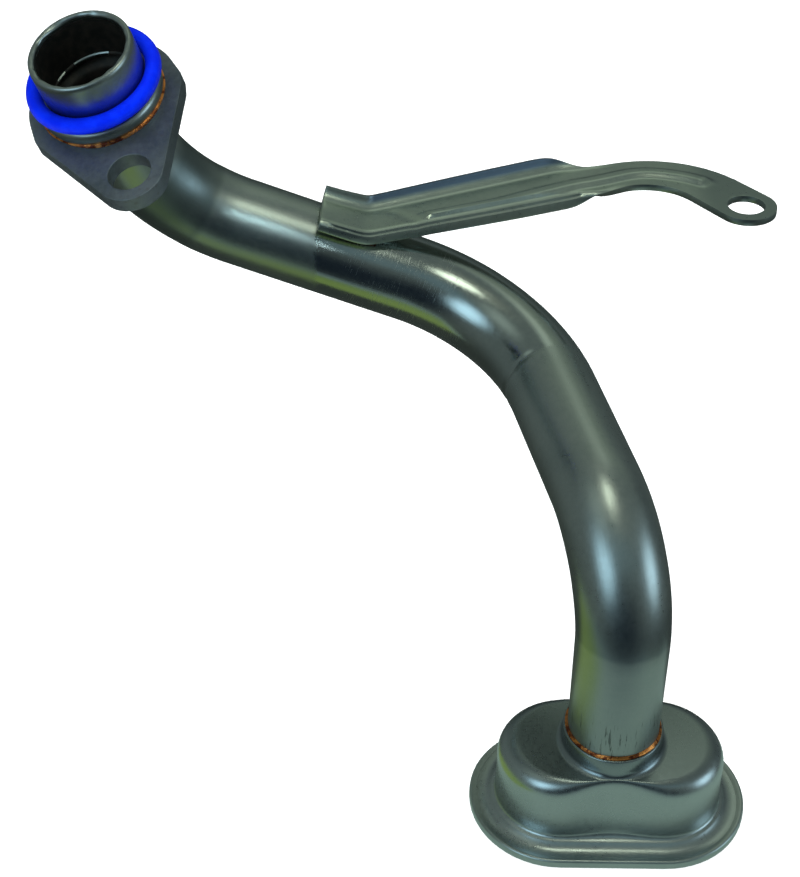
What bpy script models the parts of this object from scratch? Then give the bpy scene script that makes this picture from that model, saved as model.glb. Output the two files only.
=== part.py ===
"""Oil pickup tube: bent steel tube with an O-ring spigot, a one-bolt flange, a stamped
support bracket and an obround strainer.  Metres, +Z up.  The origin is the centre of the
strainer's bottom face, which lies in the plane Z = 0 and faces down."""
import math

import bmesh
import bpy
from mathutils import Matrix, Vector

MM = 0.001

# ---------------------------------------------------------------- driving dimensions, mm
TUBE_R = 9.525                 # 3/4 inch tube
TUBE_WALL = 1.25
GAP = 0.3                      # clearance between neighbouring pieces

# corners of the tube's centre line and the radii of its three bends
SPIGOT_TILT = 24.3             # spigot axis from the vertical, degrees
SPIGOT_HEADING = 243.5         # direction of that tilt round Z, degrees from +X
CORNER_PUMP = (-99.4, 74.7, 108.1)
CORNER_MIDDLE = (-19.4, 71.1, 79.5)
CORNER_LEG = (0.0, 0.0, 68.6)
SPIGOT_TO_CORNER = 43.4        # spigot mouth to the first corner
BEND_PUMP, BEND_MIDDLE, BEND_LEG = 32.7, 36.8, 24.6
TUBE_END_Z = 17.2              # the tube stops just inside the strainer

# spigot, measured down its axis from the mouth
SPIGOT_R = 10.63
MOUTH_ROUND = 0.9
BEAD_START, BEAD_TOP, BEAD_END = 10.15, 11.1, 12.9
BEAD_R = 12.55
FLANGE_DEPTH = 13.65           # mouth to the pump face of the flange
FLANGE_T = 3.5
NECK_R = 9.6                   # tube through the flange

ORING_DEPTH = 8.15
ORING_OUTER_R = 13.95

FLANGE_BIG_R = 15.7
FLANGE_CORNER_U, FLANGE_CORNER_V, FLANGE_CORNER_R = 3.9, 12.55, 3.2
BOLT_U = 21.76
BOLT_LOBE_R = 7.0
BOLT_HOLE_R = 4.35
RECESS_R, RECESS_DEPTH = 13.8, 0.8
BOLT_HEADING = (0.3456, -0.8922, -0.2907)   # from the spigot axis to the bolt hole

# strainer
CUP_A, CUP_R = 10.75, 13.25    # half straight and end radius of the obround cup
CUP_TOP = 18.9
CUP_ROUND = 4.5
WAIST_TOP, WAIST_FOOT = 1.6, 0.6   # how far the long sides are drawn in at their middle
COLLAR_TOP = 23.65
COLLAR_WALL = 0.65
COLLAR_FLARE = 3.0
SHEET = 0.8
LEDGE_R, LEDGE_Z = 17.8, 1.8   # outer edge and top of the housing's flat ledge
SHOULDER_R, SHOULDER_Z = 14.6, 2.75
HOUSING_BOTTOM = 1.0
COVER_A, COVER_R = 10.9, 18.82
COVER_T, COVER_LIP_Z, COVER_LIP_T = 0.7, 2.2, 0.7
WINDOW_A, WINDOW_R, WINDOW_BAR = 10.5, 9.0, 4.4
SCREEN_A, SCREEN_R, SCREEN_Z, SCREEN_T = 10.75, 12.8, 2.2, 0.4
SEAT_R, SEAT_Z = 13.1, 2.9     # step inside the shoulder, which the screen sits in
SCREEN_PITCH, SCREEN_HOLE = 2.4, 1.7

# bracket: a stamped strip, flat in the plane Z = PLATE_Z beyond its fold on the tube
PLATE_Z = 103.5
PLATE_T = 1.6
FOLD_X = -52.5
SADDLE_LEN = 9.75              # along X
FOLD_FAR_Y, FOLD_NEAR_Y = 76.7, 64.6
SADDLE_FAR_Y, SADDLE_NEAR_Y = 75.65, 64.05
STRIP_HEADING = 23.1           # direction of the straight channel, degrees from +X
STRIP_START = (-52.25, 70.8)   # on its centre line
RIBBON_START = (0.76, 91.01)   # where the flat ribbon's bend in plan begins
RIBBON_HEADING = 28.76
RIBBON_R = 18.02
RIBBON_TURN = 81.06
RIBBON_HALF, RIBBON_HALF_END = 5.2, 6.45
EYE_BEYOND = 9.87              # bend end to the eye
EYE_HOLE_R = 4.1
EYE_END_R = 6.65
LIP_ROUND, SKIRT_ROUND = 1.9, 1.75
# along the strip: far edge, near edge, height of the far lip, drop of the near skirt
STRIP_EDGES = ((0.0, 5.48, -5.58, 2.4, 2.7), (20.0, 5.96, -6.1, 2.7, 3.1),
               (32.0, 6.25, -6.4, 2.8, 3.3), (44.5, 6.52, -6.66, 2.8, 3.3),
               (47.0, 6.5, -6.9, 2.5, 3.1), (49.0, 5.9, -7.4, 1.7, 1.6), (51.0, 4.7, -7.95, 0.8, 0.2),
               (53.2, 3.4, -8.0, 0.12, 0.0), (54.4, 3.0, -7.85, 0.0, 0.0))
# the rib: place along the strip and offset from its centre line, then round the ribbon
STRIP_RIB = ((12.2, -2.8), (29.0, -3.8), (47.0, -2.6), (54.2, -3.1))
RIBBON_RIB = ((0.0, -0.9), (24.0, -0.3), (48.0, -0.4), (76.0, 0.5))
RIB_H = 0.7


def arc_path(corners, radii, step=6.5):
    """Centre line through the corners, each rounded by an arc of the given radius."""
    pts = [Vector(corners[0])]
    for i, r in enumerate(radii, start=1):
        p = Vector(corners[i])
        a = (Vector(corners[i - 1]) - p).normalized()
        b = (Vector(corners[i + 1]) - p).normalized()
        turn = math.pi - a.angle(b)
        t = r * math.tan(turn / 2)
        centre = p + (a + b).normalized() * (r / math.cos(turn / 2))
        u = (p + a * t - centre).normalized()
        n = max(4, int(round(math.degrees(turn) / step)))
        for k in range(n + 1):
            q = turn * k / n
            pts.append(centre + r * (math.cos(q) * u - math.sin(q) * a))
    pts.append(Vector(corners[-1]))
    return pts


def axis_frame(origin, z_axis, x_hint):
    """Matrix whose Z is z_axis and whose X is x_hint made square to it."""
    z = Vector(z_axis).normalized()
    x = Vector(x_hint)
    x = (x - z * x.dot(z)).normalized()
    y = z.cross(x)
    m = Matrix.Identity(4)
    for i in range(3):
        m[i][0], m[i][1], m[i][2], m[i][3] = x[i], y[i], z[i], origin[i]
    return m


th, ph = math.radians(SPIGOT_TILT), math.radians(SPIGOT_HEADING)
AXIS = Vector((math.sin(th) * math.cos(ph), math.sin(th) * math.sin(ph), math.cos(th)))
MOUTH = Vector(CORNER_PUMP) + AXIS * SPIGOT_TO_CORNER


def at_depth(d):
    """Point on the spigot axis, d millimetres below the mouth, in metres."""
    return (MOUTH - AXIS * d) * MM


# ---------------------------------------------------------------- scene set-up
for ob in list(bpy.data.objects):
    bpy.data.objects.remove(ob, do_unlink=True)

parts = bpy.data.collections.new("oil_pickup_tube")
cutters = bpy.data.collections.new("cutters")
bpy.context.scene.collection.children.link(parts)
bpy.context.scene.collection.children.link(cutters)


def material(name, colour, metallic, roughness):
    mat = bpy.data.materials.new(name)
    mat.use_nodes = True
    bsdf = mat.node_tree.nodes["Principled BSDF"]
    bsdf.inputs["Base Color"].default_value = (*colour, 1.0)
    bsdf.inputs["Metallic"].default_value = metallic
    bsdf.inputs["Roughness"].default_value = roughness
    mat.diffuse_color = (*colour, 1.0)
    return mat


TUBE_STEEL = material("tube_steel", (0.34, 0.37, 0.36), 1.0, 0.30)
FLANGE_STEEL = material("flange_steel", (0.20, 0.23, 0.24), 0.9, 0.50)
BRACKET_STEEL = material("bracket_steel", (0.27, 0.31, 0.29), 1.0, 0.38)
STRAINER_STEEL = material("strainer_steel", (0.31, 0.34, 0.33), 1.0, 0.33)
SCREEN_WIRE = material("screen_wire", (0.45, 0.46, 0.44), 1.0, 0.40)
BLUE_SEAL = material("blue_seal", (0.01, 0.05, 0.95), 0.0, 0.42)
COPPER = material("copper_braze", (0.55, 0.22, 0.10), 1.0, 0.38)


def link(ob, coll=parts):
    coll.objects.link(ob)
    return ob


def finish(ob, mat, angle=35.0):
    ob.data.materials.clear()
    ob.data.materials.append(mat)
    ob.data.shade_smooth()
    ob.data.set_sharp_from_angle(angle=math.radians(angle))
    return ob


def mesh_from_curve(curve_ob, name, coll):
    """The curve as a welded mesh object; the curve itself is removed."""
    bpy.context.view_layer.update()
    dg = bpy.context.evaluated_depsgraph_get()
    me = bpy.data.meshes.new_from_object(curve_ob.evaluated_get(dg))
    bm = bmesh.new()
    bm.from_mesh(me)
    bmesh.ops.remove_doubles(bm, verts=bm.verts, dist=1e-6)
    bmesh.ops.recalc_face_normals(bm, faces=bm.faces)
    bm.to_mesh(me)
    bm.free()
    ob = bpy.data.objects.new(name, me)
    ob.matrix_world = curve_ob.matrix_world.copy()
    bpy.data.objects.remove(curve_ob, do_unlink=True)
    return link(ob, coll)


def round_bar(name, pts_radii, resolution, coll):
    """A solid of round section along a path, with its own radius at each point, in mm."""
    cu = bpy.data.curves.new(name + "_path", "CURVE")
    cu.dimensions = "3D"
    cu.bevel_depth = MM
    cu.bevel_resolution = resolution
    cu.use_fill_caps = True
    cu.twist_mode = "MINIMUM"
    sp = cu.splines.new("POLY")
    sp.points.add(len(pts_radii) - 1)
    for point, (p, r) in zip(sp.points, pts_radii):
        point.co = (*(Vector(p) * MM), 1.0)
        point.radius = r
    ob = bpy.data.objects.new(name + "_path", cu)
    bpy.context.scene.collection.objects.link(ob)
    return mesh_from_curve(ob, name, coll)


def flat_solid(name, loops, thickness, coll, matrix=None):
    """Outlines in mm (the first is the outer one), filled and extruded about their plane."""
    cu = bpy.data.curves.new(name + "_outline", "CURVE")
    cu.dimensions = "2D"
    cu.fill_mode = "BOTH"
    cu.extrude = thickness * MM / 2
    for loop in loops:
        sp = cu.splines.new("POLY")
        sp.points.add(len(loop) - 1)
        for point, (x, y) in zip(sp.points, loop):
            point.co = (x * MM, y * MM, 0.0, 1.0)
        sp.use_cyclic_u = True
    ob = bpy.data.objects.new(name + "_outline", cu)
    bpy.context.scene.collection.objects.link(ob)
    if matrix is not None:
        ob.matrix_world = matrix
    return mesh_from_curve(ob, name, coll)


def cylinder(name, radius, depth, matrix, segments=40):
    me = bpy.data.meshes.new(name)
    bm = bmesh.new()
    bmesh.ops.create_cone(bm, cap_ends=True, segments=segments, radius1=radius * MM,
                          radius2=radius * MM, depth=depth * MM)
    bm.to_mesh(me)
    bm.free()
    ob = bpy.data.objects.new(name, me)
    ob.matrix_world = matrix
    return as_cutter(link(ob, cutters))


def as_cutter(ob):
    ob.hide_render = True
    ob.display_type = "WIRE"
    return ob


def subtract(ob, cutter):
    mod = ob.modifiers.new("cut_" + cutter.name, "BOOLEAN")
    mod.operation = "DIFFERENCE"
    mod.solver = "EXACT"
    mod.object = cutter


def bevel(ob, width, segments=2, angle=60.0):
    mod = ob.modifiers.new("edge", "BEVEL")
    mod.width = width * MM
    mod.segments = segments
    mod.limit_method = "ANGLE"
    mod.angle_limit = math.radians(angle)


def stadium(a, r, n=12):
    """Obround outline, counter-clockwise: half straight a, end radius r."""
    out = []
    for side in (1, -1):
        for k in range(n + 1):
            t = -math.pi / 2 + math.pi * k / n + (0 if side > 0 else math.pi)
            out.append((side * a + r * math.cos(t), r * math.sin(t)))
    return out


def hull(points):
    """Convex outline of a set of points, counter-clockwise."""
    pts = sorted(set((round(x, 6), round(y, 6)) for x, y in points))

    def half(seq):
        out = []
        for p in seq:
            while len(out) > 1 and ((out[-1][0] - out[-2][0]) * (p[1] - out[-2][1])
                                    - (out[-1][1] - out[-2][1]) * (p[0] - out[-2][0])) <= 1e-9:
                out.pop()
            out.append(p)
        return out
    lower, upper = half(pts), half(reversed(pts))
    return lower[:-1] + upper[:-1]


def loft(name, rings, coll, closed=True, capped=True):
    """Faces between successive rings of equally many points, in mm."""
    bm = bmesh.new()
    rows = [[bm.verts.new(Vector(p) * MM) for p in ring] for ring in rings]
    n = len(rows[0])
    for a, b in zip(rows, rows[1:]):
        for i in range(n if closed else n - 1):
            j = (i + 1) % n
            bm.faces.new((a[i], a[j], b[j], b[i]))
    if closed and capped:
        bm.faces.new(rows[0])
        bm.faces.new(rows[-1])
    bmesh.ops.recalc_face_normals(bm, faces=bm.faces)
    me = bpy.data.meshes.new(name)
    bm.to_mesh(me)
    bm.free()
    ob = bpy.data.objects.new(name, me)
    return link(ob, coll)


def smooth(x):
    x = min(max(x, 0.0), 1.0)
    return x * x * (3 - 2 * x)


# ---------------------------------------------------------------- pickup tube
corners = [MOUTH, CORNER_PUMP, CORNER_MIDDLE, CORNER_LEG, (0.0, 0.0, TUBE_END_Z)]
bends = (BEND_PUMP, BEND_MIDDLE, BEND_LEG)
line = arc_path(corners, bends)


def spigot_outer():
    """(depth, radius) down the outside of the spigot: rounded mouth, stop bead, neck."""
    out = [(MOUTH_ROUND * (1 - math.cos(q)), SPIGOT_R - 0.55 * (1 - math.sin(q)))
           for q in (0.0, 0.55, 1.1, math.pi / 2)]
    out.append((BEAD_START - 0.35, SPIGOT_R))
    for k in range(1, 5):
        q = math.pi / 2 * k / 4
        out.append((BEAD_START + (BEAD_TOP - BEAD_START) * math.sin(q),
                    SPIGOT_R + (BEAD_R - SPIGOT_R) * (1 - math.cos(q))))
    out += [(BEAD_END, BEAD_R), (FLANGE_DEPTH + 0.3, BEAD_R - 0.25),
            (FLANGE_DEPTH + 0.45, NECK_R), (FLANGE_DEPTH + FLANGE_T + 1.5, TUBE_R)]
    return out


def spigot_inner():
    """(depth, radius) down the bore: plain mouth, shallow groove behind the bead."""
    r = SPIGOT_R - TUBE_WALL
    return [(-2.0, r), (BEAD_START + 0.9, r), (BEAD_START + 1.3, r + 1.35),
            (BEAD_END - 0.3, r + 1.35), (BEAD_END + 0.5, TUBE_R - TUBE_WALL)]


outer = [(MOUTH - AXIS * d, r) for d, r in spigot_outer()]
outer += [(p, TUBE_R) for p in line[1:]]
pickup_tube = round_bar("pickup_tube", outer, 10, parts)

inner = [(MOUTH - AXIS * d, r) for d, r in spigot_inner()]
inner += [(p, TUBE_R - TUBE_WALL) for p in line[1:-1]]
inner += [(Vector((0.0, 0.0, TUBE_END_Z - 2.0)), TUBE_R - TUBE_WALL)]
bore = as_cutter(round_bar("bore_core", inner, 8, cutters))
subtract(pickup_tube, bore)
finish(pickup_tube, TUBE_STEEL, 40)

# ---------------------------------------------------------------- flange
flange_frame = axis_frame(at_depth(FLANGE_DEPTH), AXIS, BOLT_HEADING)
outline = []
for cx, cy, r in ((0, 0, FLANGE_BIG_R), (BOLT_U, 0, BOLT_LOBE_R),
                  (FLANGE_CORNER_U, FLANGE_CORNER_V, FLANGE_CORNER_R),
                  (FLANGE_CORNER_U, -FLANGE_CORNER_V, FLANGE_CORNER_R)):
    outline += [(cx + r * math.cos(2 * math.pi * k / 72), cy + r * math.sin(2 * math.pi * k / 72))
                for k in range(72)]
mounting_flange = flat_solid("mounting_flange", [hull(outline)], FLANGE_T, parts,
                             flange_frame @ Matrix.Translation((0, 0, -FLANGE_T * MM / 2)))
bevel(mounting_flange, 0.4)
subtract(mounting_flange, cylinder("flange_bore", NECK_R + GAP, 12, flange_frame))
subtract(mounting_flange, cylinder("flange_recess", RECESS_R, 2 * RECESS_DEPTH, flange_frame, 56))
subtract(mounting_flange, cylinder("bolt_hole", BOLT_HOLE_R, 12,
                                   flange_frame @ Matrix.Translation((BOLT_U * MM, 0, 0)), 32))
finish(mounting_flange, FLANGE_STEEL)


def ring(name, matrix, inner_r, outer_r, mat, major=48, minor=12):
    bpy.ops.mesh.primitive_torus_add(major_segments=major, minor_segments=minor,
                                     major_radius=(inner_r + outer_r) / 2 * MM,
                                     minor_radius=(outer_r - inner_r) / 2 * MM)
    ob = bpy.context.active_object
    ob.name = name
    ob.data.name = name
    for c in list(ob.users_collection):
        c.objects.unlink(ob)
    link(ob)
    ob.matrix_world = matrix
    return finish(ob, mat, 80)


ring("o_ring_seal", axis_frame(at_depth(ORING_DEPTH), AXIS, BOLT_HEADING),
     SPIGOT_R + GAP, ORING_OUTER_R, BLUE_SEAL, 48, 14)
ring("flange_braze", axis_frame(at_depth(FLANGE_DEPTH + 0.2), AXIS, BOLT_HEADING),
     BEAD_R + 0.3, BEAD_R + 0.9, COPPER, 48, 8)

# ---------------------------------------------------------------- strainer housing
N_ARC, N_STRAIGHT = 9, 8


def perimeter():
    """(side -1..1, angle) of each point round an obround, ends and straights."""
    out = []
    for side, start in ((1, -90.0), (-1, 90.0)):
        for k in range(N_ARC + 1):
            out.append((float(side), math.radians(start + 180.0 * k / N_ARC)))
        for k in range(1, N_STRAIGHT):
            out.append((side * (1 - 2.0 * k / N_STRAIGHT), math.radians(start + 180.0)))
    return out


PERIM = perimeter()


def obround(a, r, z, waist=0.0):
    """Ring of an obround, its two straight sides drawn in by waist at their middle."""
    out = []
    for s, t in PERIM:
        y = r * math.sin(t)
        if abs(s) < 1:
            y -= math.copysign(waist * math.cos(math.pi * s / 2) ** 2, y)
        out.append((s * a + r * math.cos(t), y, z))
    return out


def circle(r, z):
    """A circle whose points face those of the obround."""
    out = []
    for s, t in PERIM:
        x, y = s * 6.0 + 11.0 * math.cos(t), 11.0 * math.sin(t)
        d = math.hypot(x, y)
        out.append((r * x / d, r * y / d, z))
    return out


def between(ring_a, ring_b, f, dz):
    """Ring part way from a to b across, its height set by dz."""
    return [(a[0] + (b[0] - a[0]) * f, a[1] + (b[1] - a[1]) * f, dz)
            for a, b in zip(ring_a, ring_b)]


collar_r = TUBE_R + GAP + COLLAR_WALL
neck = circle(collar_r, 0)
wall = obround(CUP_A, CUP_R, 0, WAIST_TOP)


def blend(z, flare, f):
    """Point ring between collar and wall: a share of the flare, then of the rounded edge."""
    out = []
    for c, w in zip(neck, wall):
        d = math.hypot(w[0] - c[0], w[1] - c[1])
        fl = min(COLLAR_FLARE, 0.42 * d)
        rd = min(CUP_ROUND, 0.55 * d)
        h = fl * flare + (d - fl - rd) * (1.0 if f > 0 else 0.0) + rd * f
        k = h / d
        out.append((c[0] + (w[0] - c[0]) * k, c[1] + (w[1] - c[1]) * k, z))
    return out


rings = [circle(collar_r, COLLAR_TOP), circle(collar_r, CUP_TOP + COLLAR_FLARE)]
for k in range(1, 5):
    q = math.pi / 2 * k / 4
    rings.append(blend(CUP_TOP + COLLAR_FLARE * (1 - math.sin(q)), 1 - math.cos(q), 0.0))
for k in range(1, 6):
    q = math.pi / 2 * k / 5
    rings.append(blend(CUP_TOP - CUP_ROUND * (1 - math.cos(q)), 1.0, math.sin(q)))
foot = SHOULDER_Z + 1.2
rings += [obround(CUP_A, CUP_R, foot, WAIST_FOOT)]
for k in (1, 2):
    q = math.pi / 2 * k / 2
    rings.append(obround(CUP_A, CUP_R + 1.0 * (1 - math.cos(q)), foot - 1.0 * math.sin(q),
                         WAIST_FOOT * (2 - k) / 2))
rings += [obround(CUP_A, SHOULDER_R, SHOULDER_Z), obround(CUP_A, SHOULDER_R + 0.7, SHOULDER_Z - 0.25),
          obround(CUP_A, SHOULDER_R + 1.5, LEDGE_Z), obround(CUP_A, LEDGE_R, LEDGE_Z),
          obround(CUP_A, LEDGE_R, HOUSING_BOTTOM)]
strainer_housing = loft("strainer_housing", rings, parts)

cavity_top = CUP_TOP - SHEET
cavity = []
for k in range(5):
    q = math.pi / 2 * k / 4
    rr = CUP_ROUND - SHEET
    cavity.append(obround(CUP_A, CUP_R - SHEET - rr * (1 - math.cos(q)),
                          cavity_top - rr * (1 - math.sin(q)), WAIST_TOP))
cavity = [obround(CUP_A, r, z, w) for r, z, w in
          ((SEAT_R, 0.0, 0.0), (SEAT_R, SEAT_Z, 0.0), (CUP_R - SHEET, SEAT_Z, 0.0),
           (CUP_R - SHEET, foot, WAIST_FOOT))] + cavity
subtract(strainer_housing, as_cutter(loft("cavity_core", cavity, cutters)))
subtract(strainer_housing, cylinder("collar_bore", TUBE_R + GAP, 12,
                                    Matrix.Translation((0, 0, 22 * MM)), 40))
finish(strainer_housing, STRAINER_STEEL)

# ---------------------------------------------------------------- bottom cover and screen
def window(side):
    """One of the two inlet windows: half an obround, cut off by the middle bar."""
    out = [(side * x, y) for x, y in stadium(WINDOW_A, WINDOW_R, 12) if x > 0]
    inner = WINDOW_R - 0.5
    return out + [(side * WINDOW_BAR / 2, inner), (side * WINDOW_BAR / 2, -inner)]


bottom_cover = flat_solid("bottom_cover", [stadium(COVER_A, COVER_R, 16), window(1), window(-1)],
                          COVER_LIP_Z, parts, Matrix.Translation((0, 0, COVER_LIP_Z * MM / 2)))
bevel(bottom_cover, 0.25)
pocket = flat_solid("cover_pocket", [stadium(COVER_A, COVER_R - COVER_LIP_T, 16)], 4.0, cutters,
                    Matrix.Translation((0, 0, (COVER_T + 2.0) * MM)))
subtract(bottom_cover, as_cutter(pocket))
finish(bottom_cover, STRAINER_STEEL)

holes = []
nx, ny = 9, 4
for i in range(-nx, nx + 1):
    for j in range(-ny, ny + 1):
        x, y, h = i * SCREEN_PITCH, j * SCREEN_PITCH, SCREEN_HOLE / 2
        reach = math.hypot(max(abs(x) + h - SCREEN_A, 0.0), abs(y) + h)
        if reach < SCREEN_R - 0.8:
            holes.append([(x - h, y - h), (x + h, y - h), (x + h, y + h), (x - h, y + h)])
wire_screen = flat_solid("wire_screen", [stadium(SCREEN_A, SCREEN_R, 12)] + holes, SCREEN_T, parts,
                         Matrix.Translation((0, 0, (SCREEN_Z + SCREEN_T / 2) * MM)))
finish(wire_screen, SCREEN_WIRE)

ring("collar_braze", Matrix.Translation((0, 0, (COLLAR_TOP + 0.55) * MM)),
     TUBE_R + GAP, TUBE_R + GAP + 0.5, COPPER, 40, 8)

# ---------------------------------------------------------------- bracket
tube_dir = (Vector(CORNER_MIDDLE) - Vector(CORNER_PUMP)).normalized()
SLOPE = -tube_dir.z / tube_dir.x
UP = Vector((0, 0, 1))


def table(rows, x):
    """Straight-line lookup in rows whose first column rises."""
    if x <= rows[0][0]:
        return rows[0][1:]
    for p, q in zip(rows, rows[1:]):
        if x <= q[0]:
            f = (x - p[0]) / (q[0] - p[0])
            return tuple(u + (v - u) * f for u, v in zip(p[1:], q[1:]))
    return rows[-1][1:]


def fold(edge, out, height, radius, sign, up):
    """Five points from the flat over a rounded fold to the flange's tip.
    edge is the outermost place of the sheet, out the way the edge faces."""
    angle = math.radians(88.0) if height >= radius else math.acos(1 - height / radius)
    arc = radius * angle
    reach = max((height - radius * (1 - math.cos(angle))) / math.sin(angle), 0.0) \
        if angle > 0.01 else 0.0
    reach = max(reach, 1.2 - arc)
    across = radius * math.sin(angle) + reach * math.cos(angle)
    start = edge - out * across
    pts = []
    for share in (0.0, 0.22, 0.45, 0.68, 1.0):
        d = share * (arc + reach)
        q = min(d / radius, angle)
        rest = max(d - arc, 0.0)
        pts.append(start + out * (radius * math.sin(q) + rest * math.cos(angle))
                   + up * sign * (radius * (1 - math.cos(q)) + rest * math.sin(angle)))
    return pts


def section(far, near, lip, skirt, rib, rib_w, rib_h, up=UP):
    """Top face of the strip at one station, from the lip's tip to the skirt's tip.
    rib is the rib's distance from the middle between far and near, towards far."""
    n = (far - near).normalized()
    half = (far - near).length / 2
    mid = (far + near) / 2
    pts = list(reversed(fold(far, n, lip, LIP_ROUND, 1, up)))
    for k, h in ((0.9, 0.0), (0.3, 1.0), (-0.3, 1.0), (-0.9, 0.0)):
        off = max(min(rib + rib_w * k, half - 2.2), -half + 2.1 + 0.1 * (0.9 - k))
        pts.append(mid + n * off + up * rib_h * h)
    return pts + fold(near, -n, skirt, SKIRT_ROUND, -1, up)


head = math.radians(STRIP_HEADING)
along = Vector((math.cos(head), math.sin(head), 0))
side_way = Vector((-math.sin(head), math.cos(head), 0))
start = Vector((STRIP_START[0], STRIP_START[1], PLATE_Z))
stations = []

# saddle, which follows the tube's slope
saddle_up = Vector((SLOPE, 0, 1)).normalized()
for k in range(4):
    f = k / 4
    x = FOLD_X - SADDLE_LEN * (1 - f)
    z = PLATE_Z + (FOLD_X - x) * SLOPE
    stations.append(section(Vector((x, SADDLE_FAR_Y + (FOLD_FAR_Y - SADDLE_FAR_Y) * f * f, z)),
                            Vector((x, SADDLE_NEAR_Y + (FOLD_NEAR_Y - SADDLE_NEAR_Y) * f * f, z)),
                            2.2 + 0.2 * f, 2.3 + 0.4 * f, -2.0, 2.0, 0.0, saddle_up))
fold_up = (saddle_up + UP).normalized()
corner_far = Vector((FOLD_X, FOLD_FAR_Y, PLATE_Z))
corner_near = Vector((FOLD_X, FOLD_NEAR_Y, PLATE_Z))
stations.append(section(corner_far, corner_near, 2.4, 2.7, -2.0, 2.0, 0.0, fold_up))

# the channel: stations fan from the fold's direction to square across the strip
far_0, near_0 = (corner_far - start).dot(along), (corner_near - start).dot(along)
SQUARE = 15.0
for s in (3.0, 6.5, 9.5, 12.5, 15.0, 19.0, 23.5, 28.0, 32.5, 37.0, 41.0, 44.5, 46.0, 47.5,
          48.8, 50.0, 51.2, 52.6, 54.2):
    f = min(s / SQUARE, 1.0)
    s_far = far_0 + (s - far_0 * s / SQUARE if s < SQUARE else s - far_0)
    s_near = near_0 + (s - near_0 * s / SQUARE if s < SQUARE else s - near_0)
    e_far, e_near = table(STRIP_EDGES, s_far), table(STRIP_EDGES, s_near)
    far = start + along * s_far + side_way * e_far[0]
    near = start + along * s_near + side_way * e_near[1]
    middle = (e_far[0] + e_near[1]) / 2
    rib = table(STRIP_RIB, s)[0] - middle
    stations.append(section(far, near, e_far[2], e_near[3], rib,
                            2.0 + 1.3 * smooth((s - 12) / 25), RIB_H * smooth((s - 11.5) / 3.5)))

# the flat ribbon, curved in its plane, and its round end with the eye
a0, turn_all = math.radians(RIBBON_HEADING), math.radians(RIBBON_TURN)


def normal_at(q):
    return Vector((-math.sin(a0 - q), math.cos(a0 - q), 0))


arc_c = Vector((RIBBON_START[0], RIBBON_START[1], PLATE_Z)) - normal_at(0.0) * RIBBON_R
n_arc = 14
for k in range(n_arc + 1):
    q = turn_all * k / n_arc
    n = normal_at(q)
    centre = arc_c + n * RIBBON_R
    half = RIBBON_HALF + (RIBBON_HALF_END - RIBBON_HALF) * k / n_arc
    shown = 1.0 - smooth((math.degrees(q) - 68.0) / 9.0)
    stations.append(section(centre + n * half, centre - n * half, 0.0, 0.0,
                            table(RIBBON_RIB, math.degrees(q))[0], 3.3, RIB_H * shown))
n1 = normal_at(turn_all)
d1 = Vector((n1.y, -n1.x, 0))
arc_end = arc_c + n1 * RIBBON_R
for s in (3.2, 6.4, EYE_BEYOND):
    half = RIBBON_HALF_END + (EYE_END_R - RIBBON_HALF_END) * s / EYE_BEYOND
    centre = arc_end + d1 * s
    stations.append(section(centre + n1 * half, centre - n1 * half, 0.0, 0.0, 0.3, 3.0, 0.0))
EYE = arc_end + d1 * EYE_BEYOND
shares = [(p - EYE).dot(n1) / EYE_END_R for p in stations[-1]]
for k in range(1, 8):
    q = math.radians(82.0) * k / 7
    centre = EYE + d1 * EYE_END_R * math.sin(q)
    stations.append([centre + n1 * EYE_END_R * math.cos(q) * f for f in shares])

support_bracket = loft("support_bracket", stations, parts, closed=False)
bm = bmesh.new()
bm.from_mesh(support_bracket.data)
if max(bm.faces, key=lambda f: f.calc_area()).normal.z < 0:
    bmesh.ops.reverse_faces(bm, faces=bm.faces)
bm.to_mesh(support_bracket.data)
bm.free()
thick = support_bracket.modifiers.new("sheet", "SOLIDIFY")
thick.thickness = PLATE_T * MM
thick.offset = -1.0
thick.use_even_offset = True
subtract(support_bracket, cylinder("eye_hole", EYE_HOLE_R, 8, Matrix.Translation(EYE * MM), 32))
finish(support_bracket, BRACKET_STEEL, 50)

# ---------------------------------------------------------------- braze under the bracket
BRAZE_R = 0.5
tube_up = (Vector((0, 0, 1)) - tube_dir * tube_dir.z).normalized()
tube_side = tube_up.cross(tube_dir).normalized()
if tube_side.y < 0:
    tube_side = -tube_side


def axis_at(x):
    return Vector(CORNER_PUMP) + tube_dir * ((x - CORNER_PUMP[0]) / tube_dir.x)


plate_over_axis = (PLATE_Z - axis_at(FOLD_X).z) / math.hypot(1, SLOPE) - PLATE_T
lift = plate_over_axis - GAP - BRAZE_R
reach = math.sqrt((TUBE_R + GAP + 0.05 + BRAZE_R) ** 2 - lift ** 2)
for side, name in ((1, "bracket_braze_far"), (-1, "bracket_braze_near")):
    ends = [axis_at(x) + tube_up * lift + tube_side * side * reach
            for x in (FOLD_X - SADDLE_LEN + 0.8, FOLD_X - 0.8)]
    bar = round_bar(name, [(ends[0], BRAZE_R), (ends[1], BRAZE_R)], 3, parts)
    finish(bar, COPPER, 80)

bpy.context.view_layer.update()
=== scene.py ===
import math

import bmesh
import bpy
from mathutils import Matrix, Vector


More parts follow.
